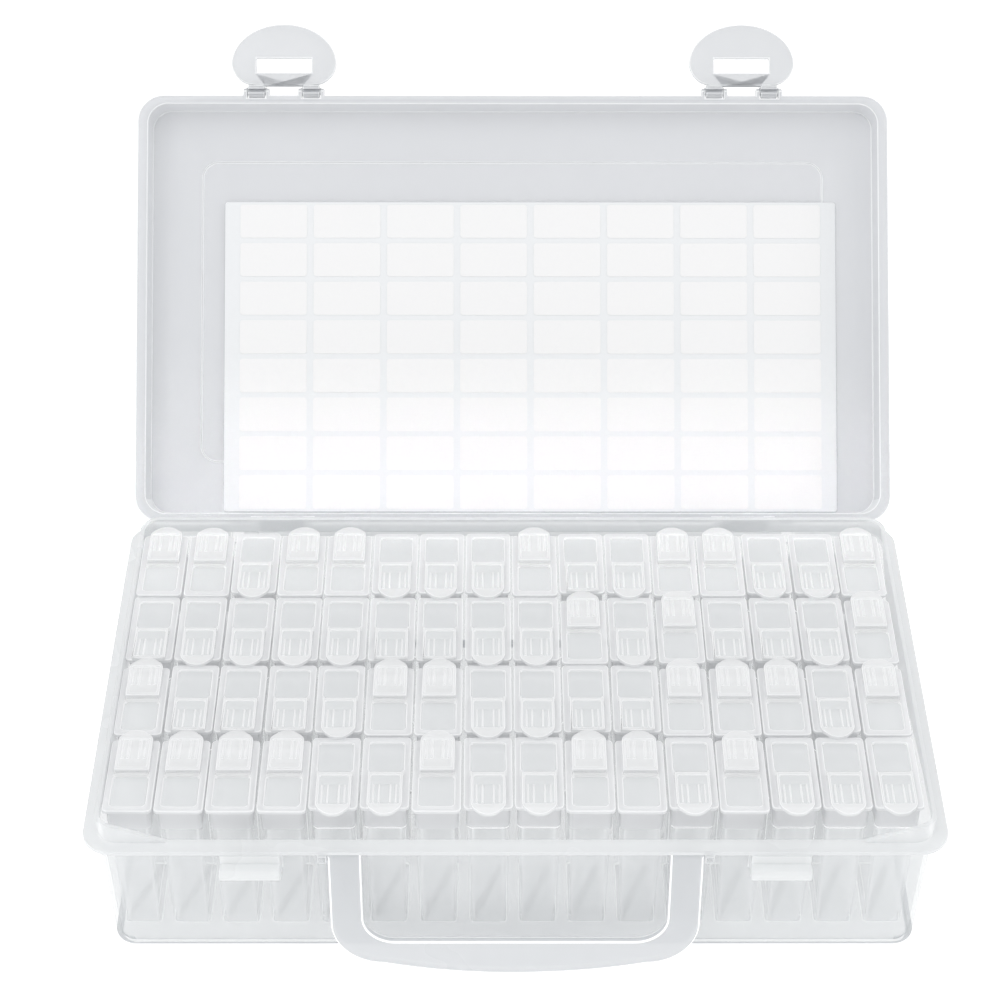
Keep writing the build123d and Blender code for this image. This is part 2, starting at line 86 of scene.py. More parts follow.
def add_node(tree, kind, values=None, links=None, **settings):
    """Adds a node with its settings, the values of its inputs, and what feeds them."""
    made = tree.nodes.new(kind)
    for name, value in settings.items():
        setattr(made, name, value)
    for name, value in (values or {}).items():
        made.inputs[name].default_value = value
    for name, source in (links or {}).items():
        tree.links.new(source, made.inputs[name])
    return made


def new_material(name):
    """An empty material with node shading."""
    made = bpy.data.materials.new(name)
    made.use_nodes = True
    made.node_tree.nodes.clear()
    return made


def soft_lamp(name, place, aim, width, height, power, spread=180.0):
    """A soft lamp that points at a place on the object."""
    bpy.ops.object.light_add(type="AREA", location=place)
    lamp = bpy.context.object
    lamp.name = name
    lamp.rotation_euler = (Vector(aim) - Vector(place)).to_track_quat("-Z", "Y").to_euler()
    lamp.data.shape = "RECTANGLE"
    lamp.data.size = width
    lamp.data.size_y = height
    lamp.data.spread = math.radians(spread)
    lamp.data.energy = power


bpy.ops.object.select_all(action="DESELECT")
bpy.ops.mesh.primitive_plane_add(size=TABLE_SIZE, location=(0, 0, TABLE_TOP))
table_top = bpy.context.object
table_top.name = "white_table"

# Opal acrylic lit from below: a dull pure white, against which the pale plastic still shows.
opal_acrylic = new_material("opal_light_table")
tree = opal_acrylic.node_tree
shader = add_node(
    tree,
    "ShaderNodeBsdfPrincipled",
    {
        "Base Color": linear("#D0D0D0"),
        "Roughness": 0.8,
        "Specular IOR Level": 0.2,
        "Emission Color": linear("#FFFFFF"),
        "Emission Strength": TABLE_GLOW,
    },
)
add_node(tree, "ShaderNodeOutputMaterial", links={"Surface": shader.outputs["BSDF"]})
table_top.data.materials.append(opal_acrylic)

world = bpy.data.worlds.new("white_studio")
bpy.context.scene.world = world
world.use_nodes = True
room = world.node_tree.nodes["Background"]
room.inputs["Color"].default_value = linear("#FFFFFF")
room.inputs["Strength"].default_value = ROOM_LIGHT
bpy.context.scene.view_settings.view_transform = "Standard"
bpy.context.scene.cycles.transparent_max_bounces = CLEAR_SKINS_IN_LINE

soft_lamp(
    "softbox_above_left",
    place=(-0.7, -0.5, 1.4),
    aim=(0, 0, 0.03),
    width=1.0,
    height=1.0,
    power=5.5,
)
soft_lamp(
    "softbox_right",
    place=(1.1, 0.1, 0.8),
    aim=(0, 0, 0.05),
    width=0.5,
    height=0.5,
    power=2.0,
)
soft_lamp(
    "strip_lamp_on_the_lid",
    place=(0, -0.55, 0.62),
    aim=(0, 0.074, 0.05),
    width=0.25,
    height=0.02,
    power=0.007,
    spread=6.0,
)


# Case base
# The lower moulding: tapered walls, floor, flange, raised lip, catches, lugs and hinge rods in one.
# Translucent polypropylene, injection moulded, with a light mould texture and softly broken edges.

# Each piece is shaped in millimetres, and settle brings it to metres at the end.
MILLIMETRE = 0.001
MERGE_WITHIN = 0.003
SHARP_OVER = math.radians(38)
SMOOTH_UNDER = math.radians(34)
CASE_EDGE_ROUND = 0.3
FLANGE_BOTTOM = 43.5
CATCH_BOTTOM = 35.0
CATCH_FACE = -62.6
CATCH_MIDDLE = 70.3
CATCH_REACH = 12
FOOT_HEIGHT = 2.5
NEARLY_LEVEL = 0.98


def use(piece):
    """Makes one piece the only selected one."""
    bpy.ops.object.select_all(action="DESELECT")
    bpy.context.view_layer.objects.active = piece
    piece.select_set(True)


def modify(piece, kind, **settings):
    """Adds a modifier to a piece and applies it."""
    use(piece)
    made = piece.modifiers.new(kind.lower(), kind)
    for name, value in settings.items():
        setattr(made, name, value)
    bpy.ops.object.modifier_apply(modifier=made.name)


def copy_of_cad(node_name, piece_name):
    """A copy of a CAD piece in millimetres, with its loose triangles merged."""
    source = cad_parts[node_name]
    piece = bpy.data.objects.new(piece_name, source.data.copy())
    bpy.context.scene.collection.objects.link(piece)
    piece.data.materials.clear()
    use(piece)
    piece.scale = (1 / MILLIMETRE, 1 / MILLIMETRE, 1 / MILLIMETRE)
    bpy.ops.object.transform_apply(location=True, rotation=True, scale=True)
    bpy.ops.mesh.customdata_custom_splitnormals_clear()
    bpy.ops.object.mode_set(mode="EDIT")
    bpy.ops.mesh.select_all(action="SELECT")
    bpy.ops.mesh.remove_doubles(threshold=MERGE_WITHIN)
    bpy.ops.object.mode_set(mode="OBJECT")
    return piece


def break_edges(piece, width, segments, body_material, edge_material):
    """Rounds the piece's sharp edges, and gives the rounds a material of their own, which on the
    plastics is a painted highlight.
    """
    piece.data.materials.append(body_material)
    piece.data.materials.append(edge_material)
    modify(
        piece,
        "BEVEL",
        width=width,
        segments=segments,
        limit_method="ANGLE",
        angle_limit=SHARP_OVER,
        use_clamp_overlap=False,
        material=1,
    )
    bpy.ops.object.shade_smooth_by_angle(angle=SMOOTH_UNDER)


def settle(piece, body, slot, *nodes):
    """Brings a finished piece from millimetres to metres and hands it to its body."""
    use(piece)
    piece.scale = (MILLIMETRE, MILLIMETRE, MILLIMETRE)
    bpy.ops.object.transform_apply(location=True, rotation=True, scale=True)
    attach(piece, body)
    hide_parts(*nodes)


FLOW_WIDTH = 45
HAZE_BELOW = 0.05
HAZE_ABOVE = 0.07
POLYPROPYLENE_IOR = 1.49
# The sockets of a Mix node that is set to colours.
MIX_FACTOR, MIX_FIRST, MIX_SECOND, MIX_RESULT = 0, 6, 7, 2


def moulded_plastic(name, colour, thick_colour, body, roughness, grain, grain_depth, glow=0.0):
    """Moulded polypropylene: milky, a little uneven where the melt flowed, with a fine skin.
    Body is how much of what lies behind one skin it hides. The last argument sets painted
    light: a white emission that stands in for the light that spreads inside it. The grain is
    drawn coarser than the real one, so that it shows at all."""
    made = new_material(name)
    tree = made.node_tree
    place = add_node(tree, "ShaderNodeTexCoord").outputs["Object"]
    flow = add_node(
        tree,
        "ShaderNodeTexNoise",
        {"Scale": 1 / (FLOW_WIDTH * MILLIMETRE), "Detail": 3.0, "Roughness": 0.55},
        {"Vector": place},
    )
    tint = add_node(
        tree,
        "ShaderNodeMix",
        {MIX_FIRST: linear(colour), MIX_SECOND: linear(thick_colour)},
        {MIX_FACTOR: flow.outputs["Fac"]},
        data_type="RGBA",
    )
    skin = add_node(
        tree,
        "ShaderNodeTexNoise",
        {"Scale": 1 / (grain * MILLIMETRE), "Detail": 2.0},
        {"Vector": place},
    )
    haze = add_node(
        tree,
        "ShaderNodeMapRange",
        {"To Min": roughness - HAZE_BELOW, "To Max": roughness + HAZE_ABOVE},
        {"Value": flow.outputs["Fac"]},
    )
    relief = add_node(
        tree,
        "ShaderNodeBump",
        {"Strength": 0.5, "Distance": grain_depth * MILLIMETRE},
        {"Height": skin.outputs["Fac"]},
    )
    shader = add_node(
        tree,
        "ShaderNodeBsdfPrincipled",
        {
            "IOR": POLYPROPYLENE_IOR,
            "Alpha": body,
            # Painted glow: white emission in a part that is no lamp, standing in for light inside
            # it.
            "Emission Color": linear("#FFFFFF"),
            "Emission Strength": glow,
        },
        {
            "Base Color": tint.outputs[MIX_RESULT],
            "Roughness": haze.outputs["Result"],
            "Normal": relief.outputs["Normal"],
        },
    )
    add_node(tree, "ShaderNodeOutputMaterial", links={"Surface": shader.outputs["BSDF"]})
    return made


# The thin walls: pale grey and cloudy, with the vials showing through as faint upright bands.
case_plastic = moulded_plastic(
    "translucent_polypropylene_case", "#E4E6E8", "#DFE2E4",
    body=0.27, roughness=0.3, grain=1.2, grain_depth=0.02,
)
# Broken edges get a painted highlight: a near-white colour, for the light they gather, that reads
# as thin lines.
case_edge_highlight = moulded_plastic(
    "translucent_polypropylene_painted_edge_highlight", "#F4F5F7", "#EFF1F3",
    body=0.6, roughness=0.25, grain=1.2, grain_depth=0.01,
)
# The flange and lip are thicker: milky, and whiter than the walls under them.
thick_plastic = moulded_plastic(
    "thick_polypropylene_rim", "#EEF0F1", "#EAECEE",
    body=0.66, roughness=0.25, grain=1.2, grain_depth=0.01,
)
# The catches are the thickest lumps of all, and so the whitest.
catch_plastic = moulded_plastic(
    "thick_polypropylene_catch", "#F5F7F8", "#F1F3F4",
    body=0.7, roughness=0.25, grain=1.2, grain_depth=0.01,
)
# Painted shade along the foot: a darker colour on the round, for the fine dark line the wall shows
# above the table where it is seen edge on.
foot_painted_shade = moulded_plastic(
    "polypropylene_foot_painted_shade", "#C4C8CB", "#BFC3C7",
    body=0.8, roughness=0.25, grain=1.2, grain_depth=0.01,
)


def finish_faces(piece, finish, wanted):
    """Gives the faces that a test picks by their place and normal a finish of their own."""
    piece.data.materials.append(finish)
    for face in piece.data.polygons:
        if wanted(face.center, face.normal):
            face.material_index = len(piece.data.materials) - 1


def on_rim(spot, _):
    """True on the flange and the lip above it."""
    return spot.z > FLANGE_BOTTOM


def on_catch(spot, _):
    """True on the two catches that stand out under the front flange."""
    ahead = CATCH_BOTTOM < spot.z < FLANGE_BOTTOM and spot.y < CATCH_FACE
    return ahead and abs(abs(spot.x) - CATCH_MIDDLE) < CATCH_REACH


def on_foot(spot, normal):
    """True on the round along the foot of the walls, where the plastic is seen edge on and the
    painted shade goes.
    """
    return spot.z < FOOT_HEIGHT and abs(normal.z) < NEARLY_LEVEL


case_shell = copy_of_cad("case_base", "case_shell")
break_edges(case_shell, CASE_EDGE_ROUND, 2, case_plastic, case_edge_highlight)
finish_faces(case_shell, thick_plastic, on_rim)
finish_faces(case_shell, catch_plastic, on_catch)
finish_faces(case_shell, foot_painted_shade, on_foot)
settle(case_shell, "case", "case_plastic", "case_base")


# Lid
# The upper moulding, standing open: a shallow tray with its flange, the step of its raised panel,
# the hinge clips and the lugs that carry the latches. The same polypropylene as the base.

LID_AXIS = Vector((0, 66.4, 44.3))
LID_ANGLE = math.radians(133.4)
PANEL_LENGTH = 192.0
PANEL_WIDTH = 93.0
PANEL_CORNER = 5.0
PANEL_CUT = (54.0, 55.15)
LOWER_WALL = 58.5
STEEP = 0.5
UPRIGHT = 0.95


def swing_lid(piece, angle):
    """Turns a piece about the lid's hinge axis, in millimetres."""
    to_axis = Matrix.Translation(-LID_AXIS)
    turn = Matrix.Translation(LID_AXIS) @ Matrix.Rotation(angle, 4, "X") @ to_axis
    piece.matrix_world = turn @ piece.matrix_world
    use(piece)
    bpy.ops.object.transform_apply(location=True, rotation=True, scale=True)


def block(name, x, y, z):
    """A box from a cube, between two limits on each axis, in millimetres."""
    bpy.ops.object.select_all(action="DESELECT")
    bpy.ops.mesh.primitive_cube_add(size=1, location=[(a + b) / 2 for a, b in (x, y, z)])
    piece = bpy.context.object
    piece.name = name
    piece.scale = [b - a for a, b in (x, y, z)]
    bpy.ops.object.transform_apply(location=True, rotation=True, scale=True)
    return piece


def either_side(size, middle=0.0):
    """The two limits of a length that is centred on a place."""
    return (middle - size / 2, middle + size / 2)


def choose(piece, kind, wanted):
    """Selects, in edit mode, the faces or edges that a test picks by their place."""
    bpy.ops.mesh.select_mode(type=kind)
    bpy.ops.mesh.select_all(action="DESELECT")
    mesh = bmesh.from_edit_mesh(piece.data)
    for item in {"FACE": mesh.faces, "EDGE": mesh.edges}[kind]:
        item.select_set(wanted(item))
    bmesh.update_edit_mesh(piece.data)


def upright(edge):
    """True for an edge that runs up and down."""
    first, second = (corner.co for corner in edge.verts)
    return abs(first.z - second.z) > UPRIGHT * (first - second).length


def round_corners(piece, radius, segments):
    """Rounds the upright corners of a block."""
    use(piece)
    bpy.ops.object.mode_set(mode="EDIT")
    choose(piece, "EDGE", upright)
    bpy.ops.mesh.bevel(offset=radius, segments=segments, affect="EDGES")
    bpy.ops.object.mode_set(mode="OBJECT")


def combine(piece, other, operation):
    """Cuts another piece out of this one, or welds it on, and removes the other."""
    modify(piece, "BOOLEAN", object=other, operation=operation, solver="EXACT")
    bpy.data.objects.remove(other)


def on_lower_wall(spot, normal):
    """True on the wall next to the hinge, which stands lowest when the lid is open."""
    return spot.y > LOWER_WALL and abs(normal.z) < STEEP


# The lid hides more than the base: an even, cool light grey against the white behind it.
lid_plastic = moulded_plastic(
    "translucent_polypropylene_lid", "#D8DADE", "#D3D5D9",
    body=0.61, roughness=0.3, grain=1.2, grain_depth=0.02,
)
# Its edges get a painted highlight: near-white lines, plainer than the base's for the darker wall
# beside them.
lid_edge_highlight = moulded_plastic(
    "translucent_polypropylene_lid_painted_edge_highlight", "#F2F4F5", "#EDEFF1",
    body=0.8, roughness=0.25, grain=1.2, grain_depth=0.01,
)
# Painted light on the lower wall: a milky white, for the light it shows where it is looked along,
# through more plastic.
lid_wall_painted_light = moulded_plastic(
    "translucent_polypropylene_lid_wall_painted_light", "#EFF1F3", "#EAECEE",
    body=0.66, roughness=0.3, grain=1.2, grain_depth=0.02,
)
lid_shell = copy_of_cad("case_lid", "lid_shell")
swing_lid(lid_shell, LID_ANGLE)
panel_step = block("panel_step", either_side(PANEL_LENGTH), either_side(PANEL_WIDTH), PANEL_CUT)
round_corners(panel_step, PANEL_CORNER, 8)
combine(lid_shell, panel_step, "DIFFERENCE")
break_edges(lid_shell, CASE_EDGE_ROUND, 2, lid_plastic, lid_edge_highlight)
finish_faces(lid_shell, lid_wall_painted_light, on_lower_wall)
swing_lid(lid_shell, -LID_ANGLE)
settle(lid_shell, "lid", "lid_plastic", "case_lid")


# Latches
# Two dome-shaped snap latches of the same polypropylene, each with a slot for its catch and
# two legs that clip on the lid's rods. Their edges are rounded for the thumb.

# A shade lighter than the lid, and as cloudy.
latch_plastic = moulded_plastic(
    "translucent_polypropylene_latch", "#DCDEE1", "#D8DADD",
    body=0.65, roughness=0.3, grain=1.2, grain_depth=0.02,
)
for side in ("left", "right"):
    latch = copy_of_cad(f"latch_{side}", f"snap_latch_{side}")
    break_edges(latch, CASE_EDGE_ROUND, 2, latch_plastic, lid_edge_highlight)
    settle(latch, f"latch_{side}", "latch_plastic", f"latch_{side}")


# Handle
# A flat bail with a bowed grip, hanging on two pins in the base's lugs.
# Polypropylene again, thicker and so a little more milky, with a painted highlight along each edge.

PIN_ROOT = 49.7
PIN_RADIUS = 1.0
PIN_AXIS = Vector((-64.02, 42.2))
PIN_MARGIN = 0.05
HANDLE_EDGE_ROUND = 0.45


def on_pin(corner):
    """True on the two pins, whose small rims stay as they are."""
    beyond_arm = abs(corner.co.x) > PIN_ROOT - 2 * PIN_MARGIN
    return beyond_arm and (corner.co.yz - PIN_AXIS).length < PIN_RADIUS + PIN_MARGIN


def sharp_off_pins(edge):
    """True for a sharp edge of the strip itself."""
    return edge.calc_face_angle(0.0) > SHARP_OVER and not any(on_pin(end) for end in edge.verts)


# A cool grey strip that half veils the wall behind it.
handle_plastic = moulded_plastic(
    "translucent_polypropylene_handle", "#DEE0E3", "#D9DCDF",
    body=0.62, roughness=0.28, grain=1.5, grain_depth=0.02,
)
# Its wide rounds get a painted highlight and a painted glow, for the softboxes they catch: the
# strongest white lines of the whole case.
handle_edge_highlight = moulded_plastic(
    "polypropylene_handle_painted_edge_highlight", "#FFFFFF", "#FCFDFE",
    body=0.95, roughness=0.2, grain=1.5, grain_depth=0.01, glow=0.15,
)
bail = copy_of_cad("handle", "carrying_handle")
bail.data.materials.append(handle_plastic)
bail.data.materials.append(handle_edge_highlight)
use(bail)
bpy.ops.object.mode_set(mode="EDIT")
choose(bail, "EDGE", sharp_off_pins)
bpy.ops.mesh.bevel(
    offset=HANDLE_EDGE_ROUND,
    segments=3,
    affect="EDGES",
    clamp_overlap=False,
    material=1,
)
bpy.ops.object.mode_set(mode="OBJECT")
bpy.ops.object.shade_smooth_by_angle(angle=SMOOTH_UNDER)
settle(bail, "handle", "handle_plastic", "handle")


# Label sheet
# The glossy backing paper that the labels come on, cut square with small rounded corners.
# It lies loose in the lid and leans on the lid's lower wall.

SHEET_X = 5.5
SHEET_Y = 13.95
SHEET_LENGTH = 189.0
SHEET_WIDTH = 96.0
SHEET_UNDERSIDE = 54.7
SHEET_FACE = 54.3
SHEET_CORNER = 0.8
SHEET_EDGE_ROUND = 0.08
PAPER_RELIEF = 0.01


def paper(name, colour, fibre_colour, roughness, fibre):
    """Coated paper: nearly even, with faint fibres under the coating."""
    made = new_material(name)
    tree = made.node_tree
    place = add_node(tree, "ShaderNodeTexCoord").outputs["Object"]
    fibres = add_node(
        tree,
        "ShaderNodeTexNoise",
        {"Scale": 1 / (fibre * MILLIMETRE), "Detail": 5.0, "Roughness": 0.7},
        {"Vector": place},
    )
    tint = add_node(
        tree,
        "ShaderNodeMix",
        {MIX_FIRST: linear(colour), MIX_SECOND: linear(fibre_colour)},
        {MIX_FACTOR: fibres.outputs["Fac"]},
        data_type="RGBA",
    )
    relief = add_node(
        tree,
        "ShaderNodeBump",
        {"Strength": 0.3, "Distance": PAPER_RELIEF * MILLIMETRE},
        {"Height": fibres.outputs["Fac"]},
    )
    shader = add_node(
        tree,
        "ShaderNodeBsdfPrincipled",
        {"Roughness": roughness, "IOR": 1.5},
        {"Base Color": tint.outputs[MIX_RESULT], "Normal": relief.outputs["Normal"]},
    )
    add_node(tree, "ShaderNodeOutputMaterial", links={"Surface": shader.outputs["BSDF"]})
    return made


# Coated and slightly shiny: a cool white that frames the labels with thin grey-blue lines.
backing_paper = paper("coated_backing_paper", "#EAECEE", "#E6E8EA", roughness=0.4, fibre=1.5)
backing = block(
    "backing_sheet",
    either_side(SHEET_LENGTH, SHEET_X),
    either_side(SHEET_WIDTH, SHEET_Y),
    (SHEET_FACE, SHEET_UNDERSIDE),
)
round_corners(backing, SHEET_CORNER, 3)
break_edges(backing, SHEET_EDGE_ROUND, 1, backing_paper, backing_paper)
swing_lid(backing, -LID_ANGLE)
settle(backing, "label_sheet", "sheet_backing", "label_sheet")


# Labels
# Sixty-four blank peel-off labels in eight rows of eight, die-cut with rounded corners.
# Matt white paper, a shade whiter than the backing, and just thick enough to catch the light.

LABELS_ALONG = 8
LABEL_LENGTH = 20.7
LABEL_WIDTH = 10.4
LABEL_FACE = 54.15
LABEL_CORNER = 0.9
LABEL_EDGE_ROUND = 0.05
LABEL_PITCH_X = 22.7
LABEL_PITCH_Y = 12.0


def join(pieces, name):
    """Joins the copies into one piece."""
    bpy.ops.object.select_all(action="DESELECT")
    for piece in pieces:
        piece.select_set(True)
    bpy.context.view_layer.objects.active = pieces[0]
    bpy.ops.object.join()
    pieces[0].name = name
    return pieces[0]


# Uncoated, so that it is the flattest white of the picture.
label_paper = paper("matt_label_paper", "#F1F1F1", "#EDEDEE", roughness=0.65, fibre=0.8)
label = block(
    "label", either_side(LABEL_LENGTH), either_side(LABEL_WIDTH), (LABEL_FACE, SHEET_FACE)
)
round_corners(label, LABEL_CORNER, 3)
break_edges(label, LABEL_EDGE_ROUND, 1, label_paper, label_paper)
middle_label = (LABELS_ALONG - 1) / 2
label_grid = []
for column in range(LABELS_ALONG):
    for row in range(LABELS_ALONG):
        spot = Vector((
            SHEET_X + (column - middle_label) * LABEL_PITCH_X,
            SHEET_Y + (row - middle_label) * LABEL_PITCH_Y,
            0,
        ))
        one = bpy.data.objects.new("label_copy", label.data.copy())
        one.data.transform(Matrix.Translation(spot))
        bpy.context.scene.collection.objects.link(one)
        label_grid.append(one)
bpy.data.objects.remove(label)
labels = join(label_grid, "blank_labels")
swing_lid(labels, -LID_ANGLE)
settle(labels, "label_sheet", "label_paper", "labels")


# Bottles
# Sixty-four open bead bottles with rounded corners, a slight taper and a narrower neck.
# Clear polypropylene, moulded with thin walls and glossier than the case.

BOTTLE_WIDTH = 11.4
BOTTLE_LENGTH = 22.6
BOTTLE_CORNER = 1.4
BOTTLE_EDGE_ROUND = 0.3
FOOT_WIDTH = 10.6
FOOT_LENGTH = 21.8
BOTTLE_FOOT = 1.6
BOTTLE_SHOULDER = 41.2
SHOULDER_LEDGE = 0.7
NECK_TOP = 48.4
NECK_WALL = 0.8
CAVITY_FLOOR = BOTTLE_FOOT + 1.3
CAVITY_WIDTHS = (8.0, 8.4)
CAVITY_LENGTHS = (19.2, 19.6)
FACING = 0.9

# Thin clear walls: they hide little, and a painted glow stands in for the table's light inside
# them.
bottle_plastic = moulded_plastic(
    "clear_polypropylene_bottle", "#F4F6F7", "#F1F3F4",
    body=0.3, roughness=0.18, grain=2.0, grain_depth=0.01, glow=0.12,
)
# Bottle edges get a painted highlight and a painted glow, for the light they carry out: the fine
# bright streaks that show through the case's front.
bottle_edge_highlight = moulded_plastic(
    "clear_polypropylene_bottle_painted_edge_highlight", "#FFFFFF", "#FCFDFE",
    body=0.9, roughness=0.2, grain=2.0, grain_depth=0.01, glow=0.22,
)
# The edges of caps and flaps get the same painted highlight and painted glow, but fainter.
vial_edge_highlight = moulded_plastic(
    "clear_polypropylene_vial_painted_edge_highlight", "#FAFBFC", "#F7F8F9",
    body=0.66, roughness=0.2, grain=2.0, grain_depth=0.01, glow=0.08,
)


def facing_up(face):
    """True for a face that looks up."""
    return face.normal.z > FACING


def facing_down(face):
    """True for a face that looks down."""
    return face.normal.z < -FACING


bottle = block(
    "bottle",
    either_side(BOTTLE_WIDTH),
    either_side(BOTTLE_LENGTH),
    (BOTTLE_FOOT, BOTTLE_SHOULDER),
)
round_corners(bottle, BOTTLE_CORNER, 3)
use(bottle)
bpy.ops.object.mode_set(mode="EDIT")
choose(bottle, "FACE", facing_down)
bpy.ops.transform.resize(
    value=(FOOT_WIDTH / BOTTLE_WIDTH, FOOT_LENGTH / BOTTLE_LENGTH, 1),
    center_override=(0, 0, BOTTLE_FOOT),
)
choose(bottle, "FACE", facing_up)
bpy.ops.mesh.inset(thickness=SHOULDER_LEDGE)
up_the_neck = (0, 0, NECK_TOP - BOTTLE_SHOULDER)
bpy.ops.mesh.extrude_region_move(TRANSFORM_OT_translate={"value": up_the_neck})
bpy.ops.mesh.inset(thickness=NECK_WALL)
down_inside = (0, 0, CAVITY_FLOOR - NECK_TOP)
bpy.ops.mesh.extrude_region_move(TRANSFORM_OT_translate={"value": down_inside})
bpy.ops.transform.resize(
    value=(CAVITY_WIDTHS[0] / CAVITY_WIDTHS[1], CAVITY_LENGTHS[0] / CAVITY_LENGTHS[1], 1),
    center_override=(0, 0, CAVITY_FLOOR),
)
bpy.ops.object.mode_set(mode="OBJECT")
break_edges(bottle, BOTTLE_EDGE_ROUND, 2, bottle_plastic, bottle_edge_highlight)


# Caps
# A press-on cap for each bottle, moulded in one: a skirt round the neck and a wider plate, with a
# shallow sunk rectangle on its closed half, a pour hole on the other, and the flap's hinge rib.

SKIRT_X = (-5.9, 5.9)
SKIRT_Y = (-11.5, 12.2)
SKIRT_BOTTOM = 41.4
SKIRT_WALL = 0.8
SKIRT_CORNER = 1.4
PLATE_X = (-6.6, 6.6)
PLATE_Y = (-12.45, 13.6)
PLATE_BOTTOM = 48.9
PLATE_TOP = 50.1
PLATE_CORNER = 1.2
WELD = 0.3
SUNK_X = (-4.7, 4.7)
SUNK_Y = (0.9, 11.6)
SUNK_DEPTH = 0.4
SUNK_CORNER = 0.8
HOLE_X = (-3.8, 3.8)
HOLE_Y = (-11.2, -3.2)
HOLE_BOTTOM = PLATE_BOTTOM - 0.5
HINGE_X = (-4.6, 4.6)
HINGE_Y = (-0.3, 0.5)
HINGE_Z = (PLATE_TOP - 0.2, PLATE_TOP + 0.4)
CAP_EDGE_ROUND = 0.3
CUT_PAST = 1
HEIGHT_MARGIN = 0.05

# The cap is thicker than the bottle: white and cloudy, and just clear enough to show its skirt,
# with a faint painted glow.
cap_plastic = moulded_plastic(
    "clear_polypropylene_cap", "#EFF0F2", "#ECEDEF",
    body=0.6, roughness=0.2, grain=2.0, grain_depth=0.01, glow=0.04,
)
# Where a rectangle is sunk, the plate is thinner and a little clearer, and its darker colour is a
# painted shade of the recess and what lies below.
thin_wall_painted_shade = moulded_plastic(
    "clear_polypropylene_thin_wall_painted_shade", "#E8EAEC", "#E5E8E9",
    body=0.58, roughness=0.16, grain=2.0, grain_depth=0.01, glow=0.03,
)


def on_floor_at(height):
    """A test that is true on faces that look up at one height, as the floor of a recess does."""
    return lambda spot, normal: normal.z > FACING and abs(spot.z - height) < HEIGHT_MARGIN


cap = block("cap", SKIRT_X, SKIRT_Y, (SKIRT_BOTTOM, PLATE_BOTTOM + WELD))
round_corners(cap, SKIRT_CORNER, 3)
use(cap)
bpy.ops.object.mode_set(mode="EDIT")
choose(cap, "FACE", facing_down)
bpy.ops.mesh.inset(thickness=SKIRT_WALL)
up_the_skirt = (0, 0, PLATE_BOTTOM - SKIRT_BOTTOM)
bpy.ops.mesh.extrude_region_move(TRANSFORM_OT_translate={"value": up_the_skirt})
bpy.ops.object.mode_set(mode="OBJECT")
plate = block("plate", PLATE_X, PLATE_Y, (PLATE_BOTTOM, PLATE_TOP))
round_corners(plate, PLATE_CORNER, 3)
combine(cap, plate, "UNION")
sunk = block("sunk", SUNK_X, SUNK_Y, (PLATE_TOP - SUNK_DEPTH, PLATE_TOP + CUT_PAST))
round_corners(sunk, SUNK_CORNER, 2)
combine(cap, sunk, "DIFFERENCE")
pour_hole = block("pour_hole", HOLE_X, HOLE_Y, (HOLE_BOTTOM, PLATE_TOP + CUT_PAST))
round_corners(pour_hole, SUNK_CORNER, 2)
combine(cap, pour_hole, "DIFFERENCE")
combine(cap, block("hinge_rib", HINGE_X, HINGE_Y, HINGE_Z), "UNION")
break_edges(cap, CAP_EDGE_ROUND, 2, cap_plastic, vial_edge_highlight)
finish_faces(cap, thin_wall_painted_shade, on_floor_at(PLATE_TOP - SUNK_DEPTH))


# Flaps
# A flip-up flap on each cap, whose rounded thumb tab reaches past the cap's edge. Its top is a sunk
# window with four grip ribs, and a shallow frame under it plugs the pour hole.

FLAP_X = (-4.7, 4.7)
FLAP_HINGE = -0.45
FLAP_BOTTOM = 50.15
FLAP_TOP = 51.35
FLAP_EDGE_ROUND = 0.2
TAB_ROOT = -12.6
TAB_NARROWING = 0.36
TAB_TIPS = {"front": -15.5, "front_short": -12.9, "rear": -15.0}
TAB_ROUND_SHARE = 0.45
WIDEST_TAB_ROUND = 1.3
WINDOW_X = (-3.95, 3.95)
WINDOW_Y = (-11.9, -1.5)
WINDOW_DEPTH = 0.4
WINDOW_CORNER = 0.5
RIB_MIDDLES = (-3.05, -1.5, 1.5, 3.05)
RIB_WIDTH = 0.48
RIB_Y = (-11.4, -4.9)
INTO_FLAP = 0.3
PLUG_X = (-3.4, 3.4)
PLUG_Y = (-10.8, -3.7)
PLUG_DEPTH = 1.3
PLUG_WALL = 0.6
PLUG_HOLLOW = 1.2

# Flaps are glossy and nearly white, with a faint painted glow, and their ribs show as bright
# strokes of painted highlight on the window.
flap_plastic = moulded_plastic(
    "clear_polypropylene_flap", "#F3F4F5", "#F0F1F2",
    body=0.6, roughness=0.16, grain=2.0, grain_depth=0.01, glow=0.04,
)


def on_tab(edge):
    """True for the upright edges of the thumb tab, at its root and at its tip."""
    return upright(edge) and edge.verts[0].co.y < TAB_ROOT + 2 * HEIGHT_MARGIN


